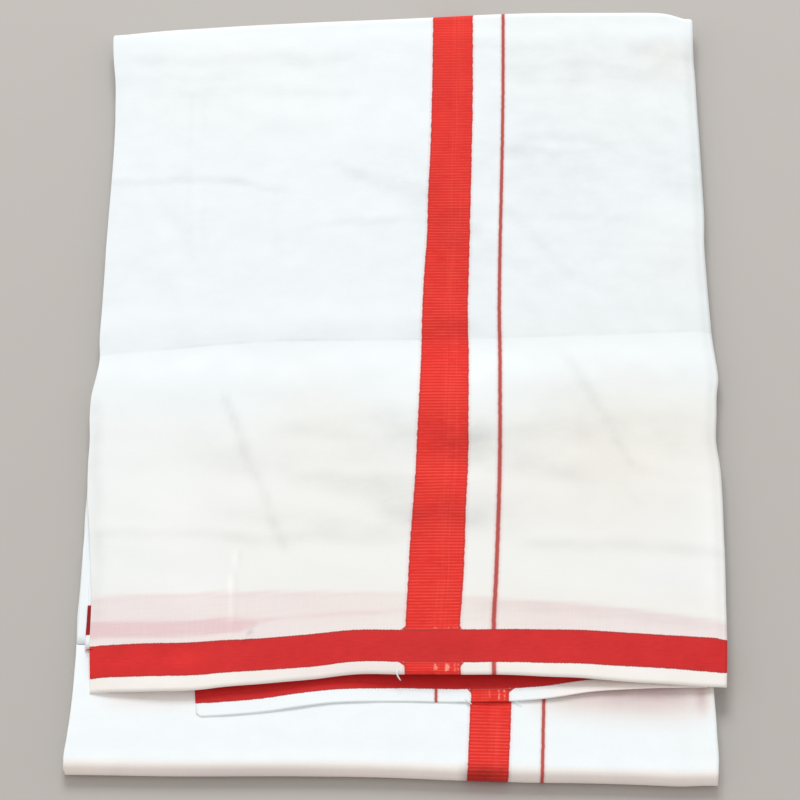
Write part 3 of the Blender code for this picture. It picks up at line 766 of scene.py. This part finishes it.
upperShading = {
    # lines across the leaf, x and y, between which the red of lower borders shows through
    "paleFar": millimetres([
        (-191, -179.3), (-150, -176.3), (-88, -174.8), (0, -175.5), (50, -179), (119, -184.5),
        (205, -197.5),
    ]),
    "strongFar": millimetres([
        (-191, -197.2), (-130, -196.4), (-90, -195), (-62, -193.5), (-40, -191.2), (0, -188.2),
    ]),
    "strongNear": millimetres([
        (-191, -210), (-130, -207.4), (-96, -203.4), (-78, -196.5), (-40, -193.7), (0, -190.5),
    ]),
    "rightFar": millimetres([(45, -179.5), (91, -181.5), (119, -184.5), (156, -189), (205, -196.2)]),
    "rightNear": millimetres([(45, -189), (91, -191.2), (119, -194.2), (156, -199.4), (205, -206)]),
    "pale": 0.36,
    "strong": 0.76,
    "right": 0.05,
    # painted shade and painted highlights of folds, creases and edges as soft strokes, in mm: x, y of both
    # ends, half width; and shade (below 0 is a painted highlight)
    "strokes": [
        (-170, 258, -40, 260.5, 6, 0.25), (-185, 243, -125, 244, 7, 0.2), (-125, 242, -50, 242, 7, 0.12),
        (-150, 231, -35, 231, 4.5, 0.22), (50, 273, 190, 272, 6, 0.3), (172, 266, 190, 263, 6, 0.4),
        (75, 254, 180, 251, 9, 0.25), (90, 242, 125, 242, 2.5, 0.25), (-141, 225, -141, 110, 2, 0.16),
        (-132, 225, -131, 100, 1.8, 0.12), (-190, 156, -110, 156, 4, 0.3), (-110, 156, -82, 149, 3, 0.35),
        (-30, 164, 14, 149, 6.5, 0.42), (-83, 134, -81, 100, 3, 0.2), (-46, 120, 8, 124, 4, 0.22),
        (-150, 125, -140, 95, 3, 0.2), (47, 115, 70, 90, 7, 0.28), (75, 126, 110, 81, 4, 0.2),
        (95, 195, 140, 190, 4, 0.2), (70, 181, 125, 182, 4, 0.18), (60, 175, 190, 160, 30, 0.32),
        (95, 126, 150, 125, 3, 0.18), (-130, -50, -110, -65, 10, 0.15), (-113, -26, -74, -138, 3.2, 0.5),
        (-60, -48, -30, -56, 8, 0.3), (-56, -89, 4, -91.5, 7.8, 0.52), (-20, -98, 4, -115, 8, 0.25),
        (55, -51, 120, -50, 9.5, 0.34), (55, -70, 120, -82, 13, 0.43), (120, -43, 195, -58, 15, 0.36),
        (109, 5, 146, -73.4, 3.2, 0.4), (60, -110, 200, -112, 17, 0.16), (90, -138, 200, -145, 5, 0.38),
        (-185, -132, -110, -132, 4.5, 0.28), (-100, -134, 0, -134, 6, 0.25),
        (-105, -115, -40, -119, 8, 0.22), (30, 117, 34, 105, 15, 0.6), (26, 33, 36, 33, 8, 0.5),
        (18, -52, 36, -56, 15, 1), (16, -112, 34, -114, 14, 0.9), (19, -85, 38, -85, 6, -0.4),
        (24, -10, 40, -10, 18, -0.45), (-104, -145, -106, -209, 1, -0.55),
        (-101, -145, -103, -209, 1.3, 0.25), (-90.5, -202, -94.5, -213.5, 0.9, 1.7),
        (-196, -30, -189, -190, 4, 0.45), (-192, -226.2, -125, -225.6, 8.5, -0.9),
        (8, -220, 36, -220, 10, 0.55), (199, -100, 200, -200, 10, -0.35), (-190, 2, 195, 12, 15, -0.4),
        (-180, 280, 190, 290, 6, -0.2), (-80, 240, 10, 200, 30, -0.15),
        (-150, -100, -130, -165, 20, -0.15), (-190, 41, 5, 47, 11, -0.26), (-50, -127.5, 2, -124, 8, 0.4),
        (160, 150, 196, 120, 20, -0.3), (-170, -76, 0, -70, 11, 0.22),
    ],
    # painted shade in the packing crease: strength, half width, and strength on its far side
    "creaseShade": 0.55,
    "creaseHalf": 0.0010,
    "creaseBehind": 0.20,
    # painted red reflected light and painted shadow beside the front edge on the lower leaf: middle x,
    # reach, depth, red, shade (below 0 is lighter)
    "edgeShadowsAndGlows": [(-0.152, 0.030, 0.0086, 0.26, -0.20), (0.135, 0.052, 0.0170, 0.85, 1.85)],
    # painted shadow in the lower leaf's dimple near its right end
    "dimpleShadow": (0.1862, -0.2500, 0.0035, 0.0110, 0.45, 1.20),  # x, y, half width, half length, red, shade
    "noseRed": 0.30,  # painted warm shade on the front fold
    # its painted shade along the fold, below 0 painted lighter: x, shade
    "noseShades": [
        (-0.205, -0.65), (-0.150, -0.45), (-0.100, 0.15), (-0.060, 0.05), (-0.030, -0.30), (0.100, -0.30),
        (0.205, -0.65),
    ],
    "noseStripe": 3.2,  # more painted shade on its stripe, whose middle and half width follow
    "stripeMiddle": 0.0525,
    "stripeHalf": 0.0145,
    # the lower leaf painted lighter all over
    "lowerShade": -0.35,
    # painted warm tone of light and shade on the upper leaf: x, y, radius, strength
    "warm": [
        (0.130, -0.055, 0.060, 0.80), (-0.055, -0.040, 0.035, 0.40), (0.130, 0.262, 0.060, 0.35),
        (0.185, 0.262, 0.020, 0.70), (-0.110, 0.255, 0.060, 0.30), (0.060, -0.160, 0.110, 0.50),
        (-0.080, -0.150, 0.080, 0.35), (0.160, -0.120, 0.050, 0.25), (0.190, -0.050, 0.050, 0.60),
        (0.192, 0.085, 0.040, 0.40),
    ],
}


def between(x, y, far, near, soft):
    # 1 between two lines that run across the leaf, with soft edges.
    below = softStep((curveThrough(far, x) - y) / soft + 0.5)
    return below * softStep((y - curveThrough(near, x)) / soft + 0.5)


def paintUpper(points, rows, paintedShading):
    # Shares of show-through, painted shade and painted warm tone for every point, on the upper leaf's rows
    # alone.
    x, y = points[:rows, :, 0], points[:rows, :, 1]
    away = y - curveThrough(stack["upperFront"], x)
    paleLine = curveThrough(paintedShading["paleFar"], x)
    behindBorder = softStep((away - 0.028) / 0.006)
    pale = paintedShading["pale"] * softStep((paleLine - y) / 0.003 + 0.5)
    pale = pale * (1 - 0.40 * bell(x - 0.02, 0.05) - 0.35 * softStep((x - 0.06) / 0.09))
    pale = pale * (0.30 + 0.70 * behindBorder) * (1 + 0.3 * bell(y - paleLine + 0.002, 0.002))
    strong = between(x, y, paintedShading["strongFar"], paintedShading["strongNear"], 0.0026)
    strong = strong * (1 - 0.55 * softStep((x + 0.098) / 0.012)) * (1 - softStep((x + 0.01) / 0.03))
    right = between(x, y, paintedShading["rightFar"], paintedShading["rightNear"], 0.0040) * softStep((x - 0.038) / 0.02)
    veil = 0.12 * softStep((paleLine - y) / 0.003) * softStep((x - 0.06) / 0.04) * behindBorder
    hem = 1 - softStep((away - 0.010) / 0.003)
    # the hem is painted pinker, most in its middle where its rolled edge lies in painted shade; and a faint
    # pink towards the front
    middleHem = (0.05 + 0.22 * bell(x + 0.02, 0.06)) * hem
    blush = 0.045 * softStep((-0.03 - y) / 0.05) * (1 - hem)
    red = pale + paintedShading["strong"] * strong + paintedShading["right"] * right + veil + middleHem + blush
    red = np.clip(red, 0, 1)
    bentX, bentY = bent(x, y)
    # painted shade under the right show-through band, and over the whole leaf: darker towards the back and
    # at the upper right, painted lighter on the hem
    shade = 0.30 * right
    base = 0.02 + 0.40 * softStep((y + 0.10) / 0.13) - 0.45 * hem
    base = base + 0.14 * softStep((x - 0.05) / 0.04) * softStep((y - 0.03) / 0.05)
    # painted shade and painted highlights of folds, creases and edges, stroke by stroke
    for *sizes, strength in paintedShading["strokes"]:
        *ends, width = millimetres(sizes)
        past, side = besideLine(bentX, bentY, ends)[1:]
        shade = shade + strength * np.exp(-((side / width) ** 2) - (past / (2.2 * width)) ** 2)
    shade = base + shade * (1 + 0.20 * waves(bentX, bentY, 61, 6, 0.06, 0.02))
    # painted shade in the packing crease and on its far side
    crease = y - curveThrough(relief["creaseLine"], x)
    uneven = 0.8 + 0.3 * waves(x, y, 62, 5, 0.08, 0.02)
    shade = shade + paintedShading["creaseShade"] * bell(crease, paintedShading["creaseHalf"]) * uneven
    shade = shade + paintedShading["creaseBehind"] * (crease > 0) * np.exp(-np.maximum(crease, 0) / 0.009) * uneven
    # painted warm tone of light and shade: the warm areas, the front half, the band by the front edge, and
    # the hem
    warmth = 0.0
    for middleX, middleY, radius, strength in paintedShading["warm"]:
        warmth = warmth + strength * bell(x - middleX, radius) * bell(y - middleY, radius)
    warmth = 0.6 * warmth + 0.36 * softStep((0.005 - y) / 0.07) + 0.3 * softStep((-0.165 - y) / 0.02)
    warmth = np.clip(warmth + hem, 0, 1)
    painted = np.zeros_like(points)
    painted[:rows] = np.stack([red, shade, warmth], axis=-1)
    return painted


def paintLower(points, rows, painted, paintedShading):
    # Painted light and shade on the lower leaf: pinker beside the upper leaf's front edge, a painted
    # reflection of the red that shines on it, with painted shadow there; darker and warmer round the front
    # fold as painted shade, painted lighter towards the fold's ends and over the rest; and a painted shadow
    # in its dimple.
    x, y = points[-rows:, :, 0], points[-rows:, :, 1]
    before = np.maximum(curveThrough(stack["upperFront"], x) - y, 0.0)
    noseReach = 0.85 * stack["frontFoldHeight"]
    nose = softStep((curveThrough(stack["frontFold"], x) + noseReach - y) / noseReach)
    # painted shadow in the dimple
    dimpleShadowX, dimpleShadowY, halfWidth, halfLength, dimpleShadowRed, dimpleShadowShade = paintedShading["dimpleShadow"]
    dimpleShadow = bell(x - dimpleShadowX, halfWidth) * bell(y - dimpleShadowY, halfLength)
    red = paintedShading["noseRed"] * nose + dimpleShadowRed * dimpleShadow
    noseShade = curveThrough(paintedShading["noseShades"], x)
    shade = paintedShading["lowerShade"] + (noseShade - paintedShading["lowerShade"]) * nose + dimpleShadowShade * dimpleShadow
    onStripe = np.exp(-(((x - paintedShading["stripeMiddle"]) / paintedShading["stripeHalf"]) ** 8))
    shade = shade + paintedShading["noseStripe"] * np.sqrt(nose) * onStripe
    # painted shadow and painted red reflected light beside the upper leaf's front edge
    for middle, reach, depth, glowRed, glowShade in paintedShading["edgeShadowsAndGlows"]:
        glow = np.exp(-(((x - middle) / reach) ** 4) - (before / depth) ** 2)
        red = red + glowRed * glow
        shade = shade + glowShade * glow
    painted[-rows:] = np.stack([red, shade, np.clip(3 * red + nose, 0, 1)], axis=-1)


points, measures = outerShape(outerLeaf, cottonLook)
upperRows = outerLeaf["rowsBefore"] + outerLeaf["rowsBehind"] + 2 * outerLeaf["rowsNear"] - 3
paintedShading = paintUpper(points, upperRows, upperShading)
paintLower(points, outerLeaf["noseRows"] + outerLeaf["lowerRows"], paintedShading, upperShading)
outer = clothObject("outerLeaf", points, measures, cotton, outerLeaf["thickness"], paintedShading)
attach(outer, "root")
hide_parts("upper_leaf", "lower_leaf")
print("outer leaf made:", points.shape)


# The second leaf is the innermost layer of cloth, whose selvedge sticks out in front.
secondLeaf = {
    "thickness": 0.00045,
    "rest": 0.01142,  # height of its top face
    # painted warmer, pinker and lighter at its right end, in the upper leaf's shadow: x where it starts,
    # run, red, shade (below 0 is lighter)
    "shadedEndTint": (0.070, 0.050, 0.26, -1.10),
    "liftRun": 0.016,
    # how far its edge stands up: x, lift
    "lift": millimetres([
        (-126, 0), (-100, 0.2), (-60, 0.6), (0, 0.4), (30, 0.3), (50, 1), (70, 0.9), (100, 1.8),
        (130, 2.6), (160, 2.6), (190, 1.6),
    ]),
    "cornerRound": 0.0030,
    "leftFront": -0.1255,
    "leftBack": -0.1285,
    "right": 0.1900,
    "rows": 40,
    "columns": 150,
    "front": millimetres([
        (-126, -265.5), (-104, -264), (-82, -261.6), (-68, -259.2), (-46, -256), (0, -254.5), (43, -255.2),
        (71, -254.5), (89, -253), (118, -248.5), (141, -247), (190, -245),
    ]),
    # mirrored, because this end of the cloth is cut on the left
    "stripeRoute": millimetres([
        (0, -67.2, -43.8, -22.2), (30, -67.2, -43.8, -22.2), (60, -67.2, -43.8, -22.2),
    ]),
    "borderRoute": millimetres([(-190, 9.5, 23), (0, 9.5, 23), (130, 9.5, 23)]),
}


def secondShape(leaf, look):
    # Straight rows from its selvedge back to where it runs in, with an edge that curls up unevenly.
    t = np.linspace(0.0, 1.0, leaf["rows"])[:, None]
    s = np.linspace(0.0, 1.0, leaf["columns"])[None, :]
    nominal = leaf["leftFront"] + (leaf["right"] - leaf["leftFront"]) * s
    front = curveThrough(leaf["front"], nominal)
    y = front + (stack["lowerTail"] - front) * t
    corner = leaf["cornerRound"] * np.sqrt(np.clip(1 - (y - front) / leaf["cornerRound"], 0, 1)) ** 3
    left = leaf["leftFront"] + (leaf["leftBack"] - leaf["leftFront"]) * t + corner
    x = left + (leaf["right"] - left) * s
    curl = 1 - softStep((y - front) / leaf["liftRun"])
    wave = 0.00010 * (1 + waves(x, y, 21, 5, 0.09, 0.02)) * (0.3 + 0.7 * curl)
    z = leaf["rest"] + curveThrough(leaf["lift"], x) * curl + wave
    points = np.stack([x, y, z], axis=-1)
    # painted light and shade: warmer, pinker and lighter at the right end, and a little lighter over the
    # rest
    start, run, red, shade = leaf["shadedEndTint"]
    end = softStep((x - start) / run) + 0 * y
    paintedShading = np.stack([red * end, shade * end - 0.35 * (1 - end), end], axis=-1)
    return points, clothMeasures(-x, y - front, look, leaf["stripeRoute"], leaf["borderRoute"]), paintedShading


points, measures, paintedShading = secondShape(secondLeaf, cottonLook)
second = clothObject("secondLeaf", points, measures, cottonEnd, secondLeaf["thickness"], paintedShading)
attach(second, "root")
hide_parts("second_leaf")
print("second leaf made:", points.shape)


# The pleats between them are one zigzag of cloth carried along the same letter fold.
innerPleats = {
    "thickness": 0.00042,
    "topClearance": 0.0021,  # room for the upper leaf's troughs
    "lowClearance": 0.00085,
    "swell": 0.0005,  # how far each pleat's rounded edge bulges
    # how far each pleat's edge stays inside the outline, in the lower and in the upper part
    "leftEdges": [(0.0010, 0.0064), (0.0005, 0.0012), (0.0014, 0.0004)],
    "rightEdges": [(0.0008, 0.0012), (0.0016, 0.0004), (0.0006, 0.0016), (0.0012, 0.0008)],
    "wander": 0.0003,
    "front": -0.2121,
    "raisedFront": -0.2170,  # the topmost pleats reach further forward, above the lower leaf's end
    "frontLift": 0.0017,
    "nominalLeft": -0.195,
    "nominalWidth": 0.389,
    "layers": 8,
    "flat": 9,  # columns across each layer
    "firstStart": 0.045,  # shares of a panel that the first and the last layer lack
    "lastEnd": 0.19,
    "innermost": 0.00015,  # how far the last layer stays from the stack's middle
    "topRows": 70,
    "rearRows": 12,
    "underRows": 49,
    "noseRows": 12,
    "lowerRows": 19,
}


def pleatShape(pleats):
    # Layers lie between the stack's outer line and its middle by their share of the depth, joined left and
    # right by half rounds. Each column of the profile has a layer share, a place across, a bulge, its
    # layer's number, and 1 where it reaches further forward.
    count, profile = pleats["layers"], []
    bend = np.linspace(0.0, math.pi, 6)[1:-1]
    for layer in range(count):
        side = 1.0 if layer % 2 == 0 else 0.0
        start = pleats["firstStart"] if layer == 0 else 0.0
        end = 1 - pleats["lastEnd"] if layer == count - 1 else 1.0
        run = np.linspace(start, end, pleats["flat"])
        even, place = 0 * run, 1 - side + (2 * side - 1) * run
        profile.append(np.array([layer / count + even, place, even, layer + even, (layer < 3) + even]))
        if layer < count - 1:
            even, out = 0 * bend, (2 * side - 1) * np.sin(bend)
            share = (layer + 0.5 - 0.5 * np.cos(bend)) / count
            profile.append(np.array([share, side + even, out, layer + even, (layer < 2) + even]))
    share, place, bulge, edge, raised = np.concatenate(profile, axis=1)[:, None, :]
    edge = edge.astype(int)
    leftPair = np.clip(edge // 2 - (edge % 2 == 0), 0, 2)
    rightPair = np.clip((edge + 1) // 2 - edge % 2, 0, 3)
    leftLow, leftHigh = np.moveaxis(np.array(pleats["leftEdges"])[leftPair], -1, 0)
    rightLow, rightHigh = np.moveaxis(np.array(pleats["rightEdges"])[rightPair], -1, 0)

    def across(y, high, along):
        # Each pleat's edges lie inside the outline by their own amounts, which wander along the cloth.
        left, right = edges("packPlan", y)
        steady = 1 - 0.8 * high * (leftPair == 0)
        shift = pleats["wander"] * waves(along, leftPair * 0.37, 33, 5, 0.20, 0.03) * steady
        left = left + leftLow + (leftHigh - leftLow) * high + shift
        right = right - rightLow - (rightHigh - rightLow) * high + shift
        return left + (right - left) * place + pleats["swell"] * bulge

    nominal = pleats["nominalLeft"] + pleats["nominalWidth"] * place
    front = pleats["front"] + (pleats["raisedFront"] - pleats["front"]) * raised
    back = curveThrough(stack["backFold"], nominal) - 0.0016
    backRadius = (smoothTop(nominal, back - 0.008) - pleats["topClearance"] - pleats["lowClearance"]) / 2
    backMiddle = backRadius + pleats["lowClearance"]
    backTurn = back - backRadius
    small = pleats["innermost"]

    # over the top
    t = np.linspace(0.0, 1.0, pleats["topRows"])[:, None]
    y = front + (backTurn - front) * t
    alongTop = y - front
    x = across(y, 1.0, alongTop)
    high = smoothTop(x, y) - pleats["topClearance"]
    middle = middleHeight(y) + small
    z = high + (middle - high) * share
    # the deeper pleats rise to the lower leaf's height where they meet its end
    meeting = softStep((-0.186 - y) / 0.022) * (1 - raised)
    z = z + pleats["frontLift"] * (1 - share) * meeting
    onLower = 0.0113 + 0.00055 * (3 - share * count)
    over = (1 - softStep((y + 0.2075) / 0.012)) * raised
    z = z * (1 - over) + np.maximum(z, onLower) * over
    meet = softStep((t - 0.94) / 0.06)
    arc = backRadius + (small - backRadius) * share
    z = z * (1 - meet) + (backMiddle + arc) * meet
    top = np.stack([x, y, z], axis=-1)

    # round the back
    angle = rowsTo(math.pi, pleats["rearRows"])
    down = softStep(angle / math.pi)
    rearY = backTurn + arc * np.sin(angle)
    alongRear = alongTop[-1] + arc * angle
    x = across(backTurn, 1 - down, alongRear)
    rear = np.stack([x, rearY, backMiddle + arc * np.cos(angle)], axis=-1)

    # forward underneath
    radius = stack["frontFoldHeight"] / 2
    frontArc = radius - pleats["lowClearance"]
    frontArc = frontArc + (small - frontArc) * share
    frontTurn = curveThrough(stack["frontFold"], nominal) + radius
    t = rowsTo(1.0, pleats["underRows"])
    y = backTurn + (frontTurn - backTurn) * t
    alongUnder = alongRear[-1] + backTurn - y
    x = across(y, 0.0, alongUnder)
    z = pleats["lowClearance"] + (middleHeight(y) - small - pleats["lowClearance"]) * share
    leave = 1 - softStep(t / 0.05)
    z = z * (1 - leave) + (backMiddle - arc) * leave
    under = np.stack([x, y, z], axis=-1)

    # round the front
    angle = rowsTo(math.pi, pleats["noseRows"])
    y = frontTurn - frontArc * np.sin(angle)
    alongNose = alongUnder[-1] + frontArc * angle
    x = across(y, 0.0, alongNose)
    nose = np.stack([x, y, radius - frontArc * np.cos(angle)], axis=-1)

    # back on top
    t = rowsTo(1.0, pleats["lowerRows"])
    y = frontTurn + (stack["lowerTail"] - frontTurn) * t
    alongLower = alongNose[-1] + y - frontTurn
    x = across(y, 0.0, alongLower)
    lower = np.stack([x, y, radius + frontArc + 0 * y], axis=-1)

    points = np.concatenate([top, rear, under, nose, lower])
    along = np.concatenate([alongTop, alongRear, alongUnder, alongNose, alongLower])
    column = 0.4 + (edge + place) * 0.4 + 0 * along
    row = np.where(along < 0.6, along, np.maximum(0.2, along[-1] - along))
    row = np.where(along > along[-1] - 0.2, along[-1] - along, row)
    row = row + 0.06 * (edge >= 2)
    return points, np.stack([column, row], axis=-1)


points, measures = pleatShape(innerPleats)
pleated = clothObject("innerPleats", points, measures, shadedCottonPleats, innerPleats["thickness"])
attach(pleated, "root")
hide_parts("inner_layers")
print("inner pleats made:", points.shape)


studio = {
    "cameraAngle": 54.0,  # degrees above the floor
    "cameraDistance": 2.924,
    "cameraAim": -0.0165,
    "lens": 202.7,
    "floorColour": (0.52, 0.49, 0.46),
    "floorReach": 6.0,
    "floorHeight": -0.0004,  # just under the cloth
    "worldColour": (1.0, 0.985, 0.975),
    "worldStrength": 0.650,
    # name, place, size, power, colour
    "lights": [
        ("backLight", (-0.20, 2.35, 2.60), 1.6, 66.0, (0.945, 0.980, 0.995)),
        ("frontFill", (-0.20, -2.60, 0.85), 1.8, 4.0, (1.0, 0.80, 0.68)),
    ],
}


def addStudio(look):
    reach, low = look["floorReach"], look["floorHeight"]
    corners = [(-reach, -reach, low), (reach, -reach, low), (reach, reach, low), (-reach, reach, low)]
    mesh = bpy.data.meshes.new("studioFloor")
    mesh.from_pydata(corners, [], [(0, 1, 2, 3)])
    paint = Bench("floorPaint", 0.9)
    where = paint.node("ShaderNodeTexCoord", {}, {}, output=3)
    mottle = paint.noise(where, 2.0, 2.0)
    shade = tuple(0.97 * part for part in look["floorColour"])
    paint.feed(paint.shader.inputs["Base Color"], paint.blend(mottle, look["floorColour"], shade))
    placed("studioFloor", mesh, paint.material)

    world = bpy.data.worlds.new("studioWorld")
    world.use_nodes = True
    world.node_tree.nodes["Background"].inputs["Color"].default_value = (*look["worldColour"], 1.0)
    world.node_tree.nodes["Background"].inputs["Strength"].default_value = look["worldStrength"]
    bpy.context.scene.world = world

    for name, place, size, power, colour in look["lights"]:
        light = bpy.data.lights.new(name, "AREA")
        light.size = size
        light.energy = power
        light.color = colour
        lamp = bpy.data.objects.new(name, light)
        lamp.location = place
        aim = -np.array(place) / np.linalg.norm(place)
        lamp.rotation_euler = (math.acos(-aim[2]), 0.0, math.atan2(-aim[0], aim[1]))
        bpy.context.scene.collection.objects.link(lamp)

    angle = math.radians(look["cameraAngle"])
    eye = bpy.data.cameras.new("camera")
    eye.sensor_width = 36.0
    eye.lens = look["lens"]
    eye.clip_start = 0.1
    eye.clip_end = 50.0
    camera = bpy.data.objects.new("camera", eye)
    back = look["cameraDistance"] * math.cos(angle)
    camera.location = (0.0, look["cameraAim"] - back, look["cameraDistance"] * math.sin(angle))
    camera.rotation_euler = (math.pi / 2 - angle, 0.0, 0.0)
    bpy.context.scene.collection.objects.link(camera)
    bpy.context.scene.camera = camera
    bpy.context.scene.view_settings.view_transform = "Standard"


addStudio(studio)
print("studio ready")
